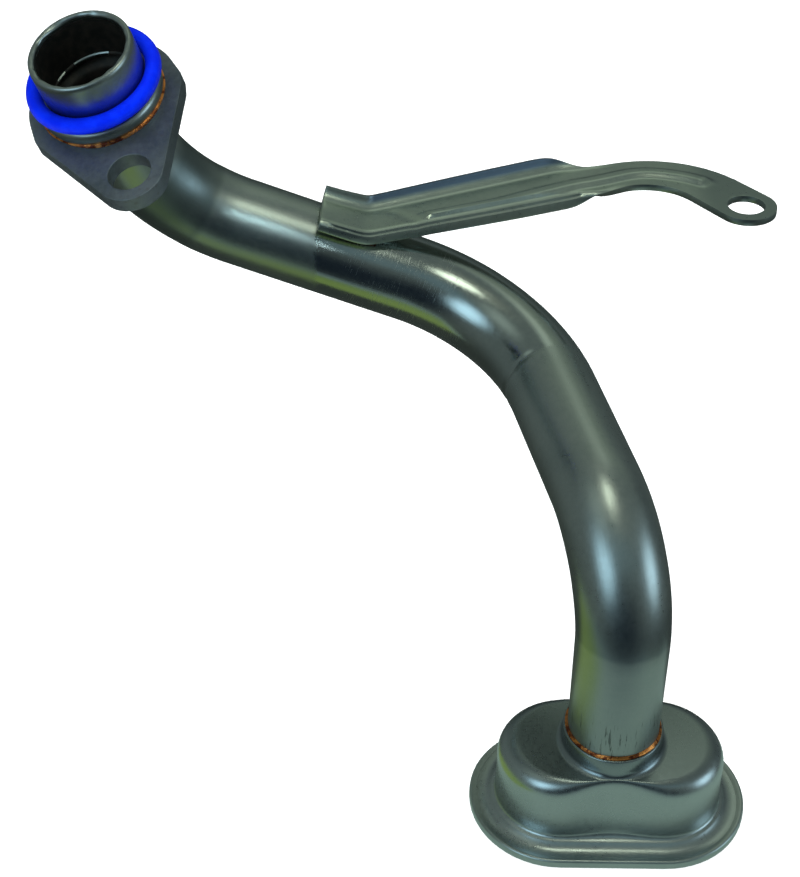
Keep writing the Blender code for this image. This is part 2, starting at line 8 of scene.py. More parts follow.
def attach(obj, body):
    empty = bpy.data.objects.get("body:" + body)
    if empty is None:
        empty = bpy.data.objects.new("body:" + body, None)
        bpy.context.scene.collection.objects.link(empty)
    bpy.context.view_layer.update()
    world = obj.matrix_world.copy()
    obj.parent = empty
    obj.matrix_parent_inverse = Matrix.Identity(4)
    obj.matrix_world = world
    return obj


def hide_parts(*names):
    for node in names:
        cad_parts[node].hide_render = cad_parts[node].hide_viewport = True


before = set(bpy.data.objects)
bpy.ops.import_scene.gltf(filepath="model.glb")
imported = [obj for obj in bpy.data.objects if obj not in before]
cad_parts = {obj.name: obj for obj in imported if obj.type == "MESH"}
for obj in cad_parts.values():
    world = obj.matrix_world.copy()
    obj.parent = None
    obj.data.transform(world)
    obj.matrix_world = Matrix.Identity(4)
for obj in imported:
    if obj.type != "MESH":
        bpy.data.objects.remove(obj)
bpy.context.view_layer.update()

MM = 0.001

# ------------------------------------------------------------------ camera
# fitted to the photograph, in millimetres: rows are the camera's right, down and forward
RIGHT = Vector((0.999807, 0.019123, -0.004576))
DOWN = Vector((0.007943, -0.605714, -0.795643))
FORWARD = Vector((-0.017987, 0.795453, -0.605749))
EYE_POINT = Vector((-39.13, -231.29, 274.62))

cam_data = bpy.data.cameras.new("camera")
cam = bpy.data.objects.new("camera", cam_data)
bpy.context.scene.collection.objects.link(cam)
m = Matrix.Identity(4)
for i in range(3):
    m[i][0], m[i][1], m[i][2], m[i][3] = RIGHT[i], -DOWN[i], -FORWARD[i], EYE_POINT[i] * MM
cam.matrix_world = m
cam_data.sensor_fit = "HORIZONTAL"
cam_data.sensor_width = 36.0
cam_data.lens = 72.0
cam_data.clip_start = 0.005
cam_data.clip_end = 20.0
bpy.context.scene.camera = cam
bpy.context.scene.view_settings.view_transform = "Standard"
bpy.context.scene.view_settings.look = "None"

# ------------------------------------------------------------------ studio
world = bpy.data.worlds.new("studio")
bpy.context.scene.world = world
world.use_nodes = True
wt = world.node_tree
wt.nodes.clear()


class Graph:
    """Small helper that adds nodes and wires them in one call."""

    def __init__(self, tree):
        self.tree = tree

    def add(self, kind, inputs=None, **props):
        n = self.tree.nodes.new(kind)
        for k, v in props.items():
            setattr(n, k, v)
        for k, v in (inputs or {}).items():
            sock = n.inputs[k]
            if isinstance(v, bpy.types.NodeSocket):
                self.tree.links.new(v, sock)
            else:
                sock.default_value = v
        return n

    def math(self, op, a, b=0.0, c=0.0, clamp=False):
        n = self.add("ShaderNodeMath", {0: a, 1: b, 2: c}, operation=op)
        n.use_clamp = clamp
        return n.outputs[0]

    def vec(self, op, a, b=(0, 0, 0)):
        n = self.add("ShaderNodeVectorMath", {0: a, 1: b}, operation=op)
        return n.outputs["Value"] if op in ("DOT_PRODUCT", "LENGTH", "DISTANCE") else n.outputs["Vector"]

    def remap(self, v, a, b, c=0.0, d=1.0, mode="SMOOTHSTEP"):
        n = self.add("ShaderNodeMapRange", {"Value": v, "From Min": a, "From Max": b,
                                            "To Min": c, "To Max": d}, interpolation_type=mode)
        return n.outputs["Result"]

    def mix(self, f, a, b, blend="MIX"):
        n = self.add("ShaderNodeMix", data_type="RGBA", blend_type=blend)
        for sock, v in ((n.inputs[0], f), (n.inputs[6], a), (n.inputs[7], b)):
            if isinstance(v, bpy.types.NodeSocket):
                self.tree.links.new(v, sock)
            else:
                sock.default_value = v if sock is n.inputs[0] else (*v[:3], 1.0)
        return n.outputs[2]

    def mixf(self, f, a, b):
        n = self.add("ShaderNodeMix", data_type="FLOAT")
        for sock, v in ((n.inputs[0], f), (n.inputs[2], a), (n.inputs[3], b)):
            if isinstance(v, bpy.types.NodeSocket):
                self.tree.links.new(v, sock)
            else:
                sock.default_value = v
        return n.outputs[0]

    def noise(self, vec, scale, detail=4.0, rough=0.5, distortion=0.0):
        return self.add("ShaderNodeTexNoise", {"Vector": vec, "Scale": scale, "Detail": detail,
                                               "Roughness": rough, "Distortion": distortion}).outputs[0]


def sky(az, el):
    """Direction at an azimuth (0 away from the viewer, 90 to the right) and elevation."""
    a, e = math.radians(az), math.radians(el)
    return Vector((math.sin(a) * math.cos(e), math.cos(a) * math.cos(e), math.sin(e)))


g = Graph(wt)
direction = g.add("ShaderNodeTexCoord").outputs["Generated"]
height = g.vec("DOT_PRODUCT", direction, (0, 0, 1))
low = (0.050, 0.062, 0.056)
mid = (0.135, 0.170, 0.165)
top = (0.16, 0.20, 0.19)
colour = g.mix(g.remap(height, -0.75, 0.0), low, mid)
colour = g.mix(g.remap(height, 0.25, 1.0), colour, top)
# (azimuth, elevation, half width, half height, softness, colour): soft boxes and dark flags
CARDS = (
    ("dark", 0, -6, 42, 26, 0.7, (0.045, 0.060, 0.056)),
    ("dark", 180, -6, 44, 36, 0.7, (0.014, 0.022, 0.032)),
    ("dark", 60, 4, 20, 26, 0.7, (0.070, 0.090, 0.092)),
    ("light", 5, 46, 36, 16, 0.9, (0.26, 0.33, 0.26)),
    ("light", 176, 45, 44, 13, 0.9, (0.17, 0.26, 0.29)),
    ("light", -115, 60, 16, 14, 0.9, (0.42, 0.52, 0.47)),
    ("light", 17, 57, 11, 9, 0.9, (0.62, 0.74, 0.62)),
    ("light", 140, 83, 14, 14, 0.9, (0.30, 0.34, 0.28)),
    ("light", 104, 12, 16, 16, 0.7, (1.45, 2.05, 2.40)),
    ("light", -143, 25, 19, 18, 0.7, (1.15, 1.75, 2.10)),
)
for kind, az, el, half_w, half_h, soft, c in CARDS:
    d0 = sky(az, el)
    right = Vector((d0.y, -d0.x, 0)).normalized()
    up = right.cross(d0)
    u = g.math("DIVIDE", g.vec("DOT_PRODUCT", direction, tuple(right)), math.sin(math.radians(half_w)))
    v = g.math("DIVIDE", g.vec("DOT_PRODUCT", direction, tuple(up)), math.sin(math.radians(half_h)))
    rr = g.math("SQRT", g.math("ADD", g.math("MULTIPLY", u, u), g.math("MULTIPLY", v, v)))
    share = g.remap(rr, 1.0 + soft * 0.5, 1.0 - soft)
    share = g.math("MULTIPLY", share, g.remap(g.vec("DOT_PRODUCT", direction, tuple(d0)), 0.0, 0.2))
    if kind == "dark":
        colour = g.mix(share, colour, c)
    else:
        colour = g.mix(share, colour, c, "MIX")
seen = g.add("ShaderNodeLightPath").outputs["Is Camera Ray"]
backdrop = g.mix(seen, colour, (0.96, 0.96, 0.96))
bg = g.add("ShaderNodeBackground", {"Color": backdrop, "Strength": 1.0})
out = g.add("ShaderNodeOutputWorld")
wt.links.new(bg.outputs[0], out.inputs["Surface"])


def area(name, place, target, size, power, colour, reflect=True):
    data = bpy.data.lights.new(name, "AREA")
    data.shape = "DISK"
    data.size = size * MM
    data.energy = power
    data.color = colour
    ob = bpy.data.objects.new(name, data)
    bpy.context.scene.collection.objects.link(ob)
    ob.location = Vector(place) * MM
    ob.rotation_euler = (Vector(target) - Vector(place)).to_track_quat("-Z", "Y").to_euler()
    ob.visible_glossy = reflect
    return ob


area("top_soft", (-40, -60, 900), (-40, 20, 60), 900, 9.0, (1.0, 0.99, 0.96), False)
area("front_soft", (-300, -700, 500), (-40, 20, 60), 700, 5.0, (1.0, 1.0, 1.0), False)


def stage_mat(name, colour, glow):
    mat = bpy.data.materials.new(name)
    mat.use_nodes = True
    b = mat.node_tree.nodes["Principled BSDF"]
    b.inputs["Base Color"].default_value = (*colour, 1)
    b.inputs["Roughness"].default_value = 0.9
    b.inputs["Specular IOR Level"].default_value = 0.0
    b.inputs["Emission Color"].default_value = (*colour, 1)
    b.inputs["Emission Strength"].default_value = glow
    return mat


def plane(name, x0, x1, y0, y1, z, mat):
    me = bpy.data.meshes.new(name)
    bm = bmesh.new()
    bm.faces.new([bm.verts.new(Vector(p) * MM) for p in
                  ((x0, y0, z), (x1, y0, z), (x1, y1, z), (x0, y1, z))])
    bm.to_mesh(me)
    bm.free()
    ob = bpy.data.objects.new(name, me)
    bpy.context.scene.collection.objects.link(ob)
    me.materials.append(mat)
    return ob


floor = plane("floor", -9000, 9000, -9000, 9000, -0.2, stage_mat("floor_pale", (0.93, 0.93, 0.93), 0.55))
floor.visible_glossy = False


def glow_mat(name, near, far, y_near, y_far):
    """Reflector card that is brighter under the object than in front of it."""
    mat = bpy.data.materials.new(name)
    mat.use_nodes = True
    t = mat.node_tree
    t.nodes.clear()
    gg = Graph(t)
    y = gg.add("ShaderNodeSeparateXYZ", {0: gg.add("ShaderNodeTexCoord").outputs["Object"]}).outputs[1]
    c = gg.mix(gg.remap(y, y_near * MM, y_far * MM), near, far)
    em = gg.add("ShaderNodeEmission", {"Color": c, "Strength": 1.0})
    out_ = gg.add("ShaderNodeOutputMaterial")
    t.links.new(em.outputs[0], out_.inputs["Surface"])
    return mat


for card in (plane("grey_card", -140, 74, -88, 24, -0.1,
                   glow_mat("card_grey", (0.29, 0.405, 0.36), (0.14, 0.20, 0.215), -34, -76)),
             plane("green_card", -122, -40, -40, 24, 0.4,
                   glow_mat("card_green", (0.27, 0.39, 0.115), (0.20, 0.31, 0.10), 0, -40))):
    card.visible_camera = False
    card.visible_diffuse = False
    card.visible_shadow = False
    card.visible_transmission = False


def strip_light(name, place, target, size, power, colour, spread):
    """Small gridded soft box seen only in reflections."""
    ob = area(name, place, target, size, power, colour, True)
    ob.data.spread = math.radians(spread)
    ob.visible_diffuse = False
    ob.visible_camera = False
    return ob


strip_light("overhead", (3, -9, 330), (-5, 25, 80), 78, 0.042, (0.90, 1.0, 0.80), 170)
strip_light("grid_blue", (-36.7, -39.4, 204.7), (-77.3, 66.3, 106.3), 17, 0.000055, (0.66, 0.93, 1.0), 8)
strip_light("grid_cream", (-31.5, -52.0, 190.0), (-70.0, 65.6, 103.4), 15, 0.000012, (0.74, 0.95, 1.0), 7)


# ------------------------------------------------------------------ shared geometry, in mm
SPIGOT_TILT, SPIGOT_HEADING = math.radians(24.3), math.radians(243.5)
AXIS = Vector((math.sin(SPIGOT_TILT) * math.cos(SPIGOT_HEADING),
               math.sin(SPIGOT_TILT) * math.sin(SPIGOT_HEADING), math.cos(SPIGOT_TILT)))
MOUTH = Vector((-99.4, 74.7, 108.1)) + AXIS * 43.4
BOLT_HEADING = Vector((0.3456, -0.8922, -0.2907))
TUBE_R, BORE_R = 9.525, 8.275
FLANGE_DEPTH, FLANGE_T = 13.65, 3.5
CORNERS = [MOUTH, Vector((-99.4, 74.7, 108.1)), Vector((-19.4, 71.1, 79.5)),
           Vector((0.0, 0.0, 68.6)), Vector((0.0, 0.0, 17.2))]
BENDS = (32.7, 36.8, 24.6)


def lerp(a, b, f):
    return a + (b - a) * f


def smooth(x, a=0.0, b=1.0):
    x = min(max((x - a) / (b - a), 0.0), 1.0)
    return x * x * (3 - 2 * x)


def table(rows, x):
    if x <= rows[0][0]:
        return rows[0][1:]
    for p, q in zip(rows, rows[1:]):
        if x <= q[0]:
            f = (x - p[0]) / (q[0] - p[0])
            return tuple(u + (v - u) * f for u, v in zip(p[1:], q[1:]))
    return rows[-1][1:]


def hash01(*k):
    v = math.sin(sum(a * b for a, b in zip(k, (12.9898, 78.233, 37.719)))) * 43758.5453
    return v - math.floor(v)


def wobble(t, seed, waves=6, base=1):
    """Periodic wavy number of about unit size, t in turns."""
    return sum(math.sin(2 * math.pi * ((base + k) * t + hash01(seed, k))) / (1 + 0.5 * k)
               for k in range(waves)) / 1.8


def axis_frame(origin, z_axis, x_hint):
    z = z_axis.normalized()
    x = (x_hint - z * x_hint.dot(z)).normalized()
    y = z.cross(x)
    mat = Matrix.Identity(4)
    for i in range(3):
        mat[i][0], mat[i][1], mat[i][2], mat[i][3] = x[i], y[i], z[i], origin[i]
    return mat


def new_object(name, bm, mat, node=None, angle=40.0, uv=None):
    me = bpy.data.meshes.new(name)
    bm.to_mesh(me)
    bm.free()
    ob = bpy.data.objects.new(name, me)
    bpy.context.scene.collection.objects.link(ob)
    me.materials.append(mat)
    me.shade_smooth()
    if angle:
        me.set_sharp_from_angle(angle=math.radians(angle))
    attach(ob, "root")
    if node:
        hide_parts(node)
    return ob


def grid(bm, rings, closed=True, uvs=None):
    """Quads between successive rings of equally many points (mm), with optional UVs."""
    layer = bm.loops.layers.uv.verify() if uvs else None
    rows = [[bm.verts.new(Vector(p) * MM) for p in ring] for ring in rings]
    n = len(rows[0])
    for a in range(len(rows) - 1):
        for i in range(n if closed else n - 1):
            j = (i + 1) % n
            f = bm.faces.new((rows[a][i], rows[a][j], rows[a + 1][j], rows[a + 1][i]))
            if uvs:
                u0, u1 = i / n, (i + 1) / n
                for lp, uv in zip(f.loops, ((u0, uvs[a]), (u1, uvs[a]), (u1, uvs[a + 1]), (u0, uvs[a + 1]))):
                    lp[layer].uv = uv
    return rows


# centre line as straights and arcs
SEGS = []
here = CORNERS[0]
for i, rad in enumerate(BENDS, start=1):
    p = CORNERS[i]
    a = (CORNERS[i - 1] - p).normalized()
    b = (CORNERS[i + 1] - p).normalized()
    turn = math.pi - a.angle(b)
    t = rad * math.tan(turn / 2)
    centre = p + (a + b).normalized() * (rad / math.cos(turn / 2))
    start = p + a * t
    SEGS.append(("L", here, -a, (start - here).length))
    SEGS.append(("A", centre, (start - centre).normalized(), -a, rad, turn))
    here = p + b * t
SEGS.append(("L", here, (CORNERS[-1] - here).normalized(), (CORNERS[-1] - here).length))
LENGTH = sum(s[3] if s[0] == "L" else s[4] * s[5] for s in SEGS)


def along(s):
    """(point, tangent, side, bend share, bend direction) at s mm from the mouth."""
    side = (BOLT_HEADING - AXIS * BOLT_HEADING.dot(AXIS)).normalized()
    done = 0.0
    for k, seg in enumerate(SEGS):
        size = seg[3] if seg[0] == "L" else seg[4] * seg[5]
        last = k == len(SEGS) - 1
        if s <= done + size or last:
            if seg[0] == "L":
                return seg[1] + seg[2] * (s - done), seg[2], side, 0.0, None
            q = (s - done) / seg[4]
            out_dir = seg[2] * math.cos(q) + seg[3] * math.sin(q)
            tan = seg[3] * math.cos(q) - seg[2] * math.sin(q)
            rot = Matrix.Rotation(q, 3, seg[2].cross(seg[3]))
            share = smooth(min(s - done, done + size - s) / (0.35 * size))
            return seg[1] + out_dir * seg[4], tan, rot @ side, share, out_dir
        if seg[0] == "A":
            side = Matrix.Rotation(seg[5], 3, seg[2].cross(seg[3])) @ side
        done += size
    return None


# ------------------------------------------------------------------ materials
def coords(g):
    """Object-space position in millimetres."""
    return g.vec("MULTIPLY", g.add("ShaderNodeTexCoord").outputs["Object"], (1000.0, 1000.0, 1000.0))


def steel(name, tint_a, tint_b, rough, spread=0.07, grain=0.02, streak=None, scale=1.0, spots=0.0,
          extra=None):
    """Bare steel: blotchy tint, uneven polish, fine grain and optional drawn streaks."""
    mat = bpy.data.materials.new(name)
    mat.use_nodes = True
    t = mat.node_tree
    bsdf = t.nodes["Principled BSDF"]
    bsdf.inputs["Metallic"].default_value = 1.0
    g = Graph(t)
    p = coords(g)
    cloud = g.noise(p, 0.045 * scale, 5.0, 0.6, 0.4)
    fine = g.noise(p, 0.9 * scale, 4.0, 0.65)
    micro = g.noise(p, 5.5 * scale, 2.0, 0.5)
    f = g.remap(g.math("ADD", g.math("MULTIPLY", cloud, 0.7), g.math("MULTIPLY", fine, 0.3)), 0.36, 0.64)
    colour = g.mix(f, tint_a, tint_b)
    r = g.math("ADD", rough - spread, g.math("MULTIPLY", f, spread * 2))
    r = g.math("ADD", r, g.math("MULTIPLY", g.math("SUBTRACT", fine, 0.5), 0.10))
    heightmap = g.math("ADD", g.math("MULTIPLY", micro, grain), g.math("MULTIPLY", fine, grain * 0.9))
    if streak:
        uv = g.add("ShaderNodeTexCoord").outputs["UV"]
        sv = g.vec("MULTIPLY", uv, streak)
        lines = g.noise(sv, 1.0, 3.0, 0.6)
        heightmap = g.math("ADD", heightmap, g.math("MULTIPLY", lines, grain * 1.2))
        r = g.math("ADD", r, g.math("MULTIPLY", g.math("SUBTRACT", lines, 0.5), 0.07))
    if spots:
        pit = g.add("ShaderNodeTexVoronoi", {"Vector": p, "Scale": 0.55 * scale}, feature="F1").outputs["Distance"]
        keep = g.remap(g.noise(p, 0.09 * scale, 2.0), 0.52, 0.62)
        dark = g.math("MULTIPLY", g.remap(pit, 0.30, 0.16), keep)
        colour = g.mix(g.math("MULTIPLY", dark, spots), colour, (0.10, 0.10, 0.095))
    if extra:
        colour, r, heightmap = extra(g, p, colour, r, heightmap)
    t.links.new(colour, bsdf.inputs["Base Color"])
    t.links.new(r, bsdf.inputs["Roughness"])
    bump = g.add("ShaderNodeBump", {"Height": heightmap, "Strength": 1.0, "Distance": 0.001})
    t.links.new(bump.outputs[0], bsdf.inputs["Normal"])
    return mat


STEEL_A, STEEL_B = (0.40, 0.435, 0.42), (0.47, 0.50, 0.475)


def tube_wear_and_painted_dark(g, p, colour, r, h):
    """Scuffs across the tube under the bracket, long pits above the strainer, and a painted dark reflection on the leg
    just above the foot.
    """
    uv = g.add("ShaderNodeTexCoord").outputs["UV"]
    sep = g.add("ShaderNodeSeparateXYZ", {0: uv})
    turn, s = sep.outputs[0], g.math("MULTIPLY", sep.outputs[1], 100.0)
    xyz = g.add("ShaderNodeSeparateXYZ", {0: p})
    # hairline scuffs
    lines = g.noise(g.vec("MULTIPLY", uv, (18.0, 420.0, 0.0)), 1.0, 2.0, 0.6)
    zone = g.math("MULTIPLY", g.math("MULTIPLY", g.remap(xyz.outputs[0], -60.5, -54.0), g.remap(xyz.outputs[0], -26.0, -38.0)),
                  g.remap(xyz.outputs[1], 74.0, 68.0))
    patch = g.remap(g.noise(p, 0.16, 2.0), 0.42, 0.60)
    hair = g.math("MULTIPLY", g.math("MULTIPLY", g.remap(lines, 0.56, 0.68), zone), patch)
    r = g.math("ADD", r, g.math("MULTIPLY", hair, 0.22))
    colour = g.mix(g.math("MULTIPLY", hair, 0.5), colour, (0.62, 0.64, 0.64))
    # satin length between the flange and the polished run, ending in an uneven ring
    edge_ = g.math("ADD", xyz.outputs[0], g.math("MULTIPLY", g.math("SUBTRACT", g.noise(p, 0.5, 3.0), 0.5), 2.5))
    satin = g.remap(edge_, -62.6, -64.4)
    r = g.math("ADD", r, g.math("MULTIPLY", satin, 0.15))
    # satin leg below the crease of the middle bend
    leg = g.remap(g.math("ADD", s, g.math("MULTIPLY", g.noise(p, 0.6, 3.0), 0.8)), 138.6, 139.8)
    r = g.math("ADD", r, g.math("MULTIPLY", leg, 0.125))
    # long pits and a matt, greyer foot with a firm upper edge where the braze heated the tube; just above that edge the
    # leg is painted darker, a painted dark reflection
    brim = g.math("ADD", xyz.outputs[2], g.math("MULTIPLY", g.noise(p, 0.35, 3.0), 1.2))
    foot = g.math("MULTIPLY", g.remap(brim, 52.2, 50.6), g.remap(xyz.outputs[1], 20.0, 14.0))
    # painted dark reflection: the leg just above the foot's edge is painted darker
    painted_dark_band = g.math("MULTIPLY", g.math("MULTIPLY", g.remap(brim, 50.6, 52.2), g.remap(xyz.outputs[2], 62.0, 55.0)), leg)
    colour = g.mix(g.math("MULTIPLY", painted_dark_band, 0.5), colour, (0.20, 0.235, 0.26))
    pits = g.noise(g.vec("MULTIPLY", p, (1.9, 1.9, 0.16)), 1.0, 3.0, 0.6)
    pit = g.math("MULTIPLY", g.remap(pits, 0.60, 0.68), g.remap(xyz.outputs[2], 39.0, 29.0))
    pit = g.math("MULTIPLY", pit, foot)
    colour = g.mix(g.math("MULTIPLY", pit, 0.75), colour, (0.10, 0.11, 0.11))
    r = g.math("ADD", r, g.math("MULTIPLY", foot, 0.05))
    h = g.math("SUBTRACT", h, g.math("MULTIPLY", pit, 0.05))
    # two darker patches where the run enters the bend at the pump end
    blot = g.math("MULTIPLY", g.remap(s, 52.0, 49.6), g.remap(s, 31.0, 37.0))
    blot = g.math("MULTIPLY", blot, g.math("ADD", 0.62, g.math("MULTIPLY", g.remap(g.noise(p, 0.07, 2.0, 0.4), 0.40, 0.60), 0.38)))
    colour = g.mix(g.math("MULTIPLY", blot, 0.85), colour, (0.19, 0.22, 0.215))
    r = g.math("ADD", r, g.math("MULTIPLY", blot, 0.06))
    return colour, r, h


TUBE = steel("tube_steel_v", STEEL_A, STEEL_B, 0.185, 0.025, 0.008, streak=(160.0, 9.0, 0.0), extra=tube_wear_and_painted_dark)
FLANGE = steel("flange_steel_v", (0.085, 0.108, 0.118), (0.15, 0.18, 0.195), 0.42, 0.06, 0.03, spots=0.3)
FLANGE.node_tree.nodes["Principled BSDF"].inputs["Metallic"].default_value = 0.82
def bracket_tone_and_painted_reflection(g, p, colour, r, h):
    """The up-turned far edge is painted bluer, a painted blue reflection; the flat round the eye is duller."""
    xyz = g.add("ShaderNodeSeparateXYZ", {0: p})
    lip_painted_blue = g.remap(xyz.outputs[2], 104.2, 105.2)
    strip = g.math("MULTIPLY", g.remap(xyz.outputs[0], -4.0, -12.0), g.remap(xyz.outputs[0], -54.0, -51.0))
    # painted blue reflection on the up-turned far edge
    colour = g.mix(g.math("MULTIPLY", lip_painted_blue, strip), colour, (0.20, 0.255, 0.335))
    r = g.math("ADD", r, g.math("MULTIPLY", g.math("MULTIPLY", lip_painted_blue, strip), 0.10))
    tip = g.remap(xyz.outputs[0], 17.0, 24.0)
    colour = g.mix(g.math("MULTIPLY", tip, 0.75), colour, (0.33, 0.37, 0.36))
    return colour, r, h


BRACKET = steel("bracket_steel_v", (0.50, 0.55, 0.49), (0.58, 0.63, 0.56), 0.31, 0.03, 0.006, spots=0.10, extra=bracket_tone_and_painted_reflection)
def cup_painted_dark_top(g, p, colour, r, h):
    """Flat top and collar painted darker than the drawn wall and ledge, a painted shade."""
    xyz = g.add("ShaderNodeSeparateXYZ", {0: p})
    top_painted_shade = g.remap(xyz.outputs[2], 17.6, 18.7)
    # painted shade: the flat top and collar are darkened
    colour = g.mix(g.math("MULTIPLY", top_painted_shade, 0.85), colour, (0.29, 0.325, 0.33))
    return colour, r, h


HOUSING = steel("strainer_steel_v", (0.46, 0.50, 0.49), (0.53, 0.57, 0.555), 0.30, 0.03, 0.005, extra=cup_painted_dark_top)
COVER = steel("cover_steel_v", (0.43, 0.47, 0.455), (0.50, 0.54, 0.52), 0.33, 0.03, 0.006)


def painted_shade_inside():
    """Near-black inside of the tube, a painted shade."""
    mat = bpy.data.materials.new("tube_inside_v")
    mat.use_nodes = True
    t = mat.node_tree
    bsdf = t.nodes["Principled BSDF"]
    bsdf.inputs["Metallic"].default_value = 0.7
    g = Graph(t)
    n = g.noise(coords(g), 0.5, 4.0, 0.6)
    t.links.new(g.mix(g.remap(n, 0.35, 0.7), (0.014, 0.016, 0.015), (0.030, 0.028, 0.024)), bsdf.inputs["Base Color"])
    t.links.new(g.math("ADD", 0.42, g.math("MULTIPLY", n, 0.25)), bsdf.inputs["Roughness"])
    return mat


INSIDE_SHADE = painted_shade_inside()
SCREEN = steel("screen_wire_v", (0.45, 0.46, 0.44), (0.58, 0.58, 0.55), 0.35, 0.05, 0.01)


def copper():
    mat = bpy.data.materials.new("copper_braze_v")
    mat.use_nodes = True
    t = mat.node_tree
    bsdf = t.nodes["Principled BSDF"]
    bsdf.inputs["Metallic"].default_value = 1.0
    g = Graph(t)
    p = coords(g)
    n = g.noise(p, 0.55, 4.0, 0.65, 0.6)
    colour = g.mix(g.remap(n, 0.42, 0.60), (0.92, 0.33, 0.085), (0.20, 0.045, 0.022))
    t.links.new(colour, bsdf.inputs["Base Color"])
    t.links.new(g.math("ADD", 0.26, g.math("MULTIPLY", n, 0.22)), bsdf.inputs["Roughness"])
    bump = g.add("ShaderNodeBump", {"Height": g.noise(p, 2.2, 3.0), "Strength": 0.7, "Distance": 0.0001})
    t.links.new(bump.outputs[0], bsdf.inputs["Normal"])
    return mat


COPPER = copper()


def seal():
    mat = bpy.data.materials.new("blue_seal_v")
    mat.use_nodes = True
    t = mat.node_tree
    bsdf = t.nodes["Principled BSDF"]
    g = Graph(t)
    p = coords(g)
    n = g.noise(p, 0.35, 4.0, 0.6)
    t.links.new(g.mix(g.remap(n, 0.35, 0.7), (0.0006, 0.010, 0.50), (0.0012, 0.017, 0.58)), bsdf.inputs["Base Color"])
    t.links.new(g.math("ADD", 0.40, g.math("MULTIPLY", n, 0.16)), bsdf.inputs["Roughness"])
    bsdf.inputs["Specular IOR Level"].default_value = 0.18
    bsdf.inputs["Specular Tint"].default_value = (0.10, 0.35, 1.0, 1.0)
    bump = g.add("ShaderNodeBump", {"Height": g.noise(p, 3.0, 3.0), "Strength": 0.25, "Distance": 0.00005})
    t.links.new(bump.outputs[0], bsdf.inputs["Normal"])
    return mat


SEAL = seal()

# ------------------------------------------------------------------ tube
SPIGOT_OUT = ((0.0, 10.02), (0.06, 10.18), (0.2, 10.37), (0.45, 10.53), (0.9, 10.62), (1.4, 10.63),
              (9.7, 10.63), (9.9, 10.68), (10.1, 10.84), (10.3, 11.16), (10.5, 11.6), (10.7, 12.06),
              (10.95, 12.42), (11.3, 12.68), (11.75, 12.82), (12.5, 12.84), (13.0, 12.76), (13.35, 12.58),
              (13.55, 12.36))
GROUPS = [s for s, _ in SPIGOT_OUT] + [13.62, 14.2, 17.0, 18.8, 20.2]
outer_s = list(GROUPS)
s = 1.4
while s < 9.0:
    s += 1.0
    outer_s.append(s)
s = 21.0
while s < LENGTH - 0.6:
    outer_s.append(s)
    s += 1.15
outer_s += [49.3 + 0.2 * k for k in range(8)] + [135.5 + 0.3 * k for k in range(21)]
outer_s.append(LENGTH)
outer_s = sorted(set(round(v, 4) for v in outer_s))
N = 112


def outer_radius(s):
    if s <= 13.6:
        return table(SPIGOT_OUT, s)[0]
    clamp = 0.07 * smooth(s, 51.4, 48.8) * smooth(s, 36.0, 46.0)
    return lerp(9.62, TUBE_R, smooth(s, 17.2, 20.5)) - clamp


def inner_radius(s):
    return table(((0.0, 9.80), (0.06, 9.62), (0.2, 9.46), (0.45, 9.30), (0.9, 9.22), (10.35, 9.22), (10.45, 9.0),
                  (10.62, 8.86), (11.0, 8.86), (11.1, 9.2), (11.3, 10.2), (11.5, 10.6), (12.5, 10.7), (12.9, 10.2),
                  (13.5, 8.6), (14.2, BORE_R), (400.0, BORE_R)), s)[0]


def tube_ring(s, radius, dent=0.0):
    c, tan, side, share, out_dir = along(s)
    other = tan.cross(side)
    w = math.atan2(out_dir.dot(other), out_dir.dot(side)) if out_dir else 0.0
    ring = []
    for i in range(N):
        q = 2 * math.pi * i / N
        r = radius(s) if callable(radius) else radius
        if share and out_dir:
            d = q - w
            r *= 1 - 0.016 * share * math.cos(2 * d)
            if 133.0 < s < 145.0 and r > BORE_R + 0.5:
                inner_side = smooth(-math.cos(d - 0.25), 0.15, 0.75)
                r += inner_side * (0.12 * math.exp(-((s - 138.6) / 2.8) ** 2) - 0.30 * math.exp(-((s - 138.6) / 1.0) ** 2))
        ring.append(c + (side * math.cos(q) + other * math.sin(q)) * r)
    return ring


bm = bmesh.new()
rings, uvs = [], []
for s in outer_s:
    rings.append(tube_ring(s, outer_radius))
    uvs.append(s * 0.01)
lowest = tube_ring(LENGTH, 8.9)
rings.append(lowest)
uvs.append(LENGTH * 0.01)
inner_s = [0.0, 0.06, 0.12, 0.2, 0.32, 0.45, 0.65, 0.9, 1.3, 3.0, 6.0, 9.0, 10.35, 10.45, 10.62, 11.0, 11.1, 11.3, 11.5,
           12.5, 12.9, 13.5, 14.2, 17.0, 20.0]
v = 23.0
while v < LENGTH - 1.5:
    inner_s.append(v)
    v += 2.2
inner_s.append(LENGTH)
first_inner = None
for s in reversed(inner_s):
    ring = tube_ring(s, inner_radius)
    if s < 0.8:                    # the cut edge is ragged
        c, tan, side, _, _ = along(s)
        other = tan.cross(side)
        ring = []
        for i in range(N):
            t_ = i / N
            chip = max(0.0, wobble(t_, 3.1, 9, 5)) * 0.40 + 0.14 * wobble(t_, 7.7, 8, 17)
            r = inner_radius(s) + chip * (1 - smooth(s, 0.0, 0.8)) * 0.9
            drop = 0.10 * max(0.0, wobble(t_, 3.1, 9, 5)) if s < 0.1 else 0.0
            q = 2 * math.pi * t_
            ring.append(c + tan * drop + (side * math.cos(q) + other * math.sin(q)) * min(r, 10.0))
    rings.append(ring)
    uvs.append(s * 0.01)
rings.append(rings[0])
uvs.append(0.0)
rows = grid(bm, rings, True, uvs)
bmesh.ops.remove_doubles(bm, verts=bm.verts, dist=1e-7)
bmesh.ops.recalc_face_normals(bm, faces=bm.faces)
tube = new_object("tube_skin", bm, TUBE, "pickup_tube", 50)
tube.data.materials.append(INSIDE_SHADE)
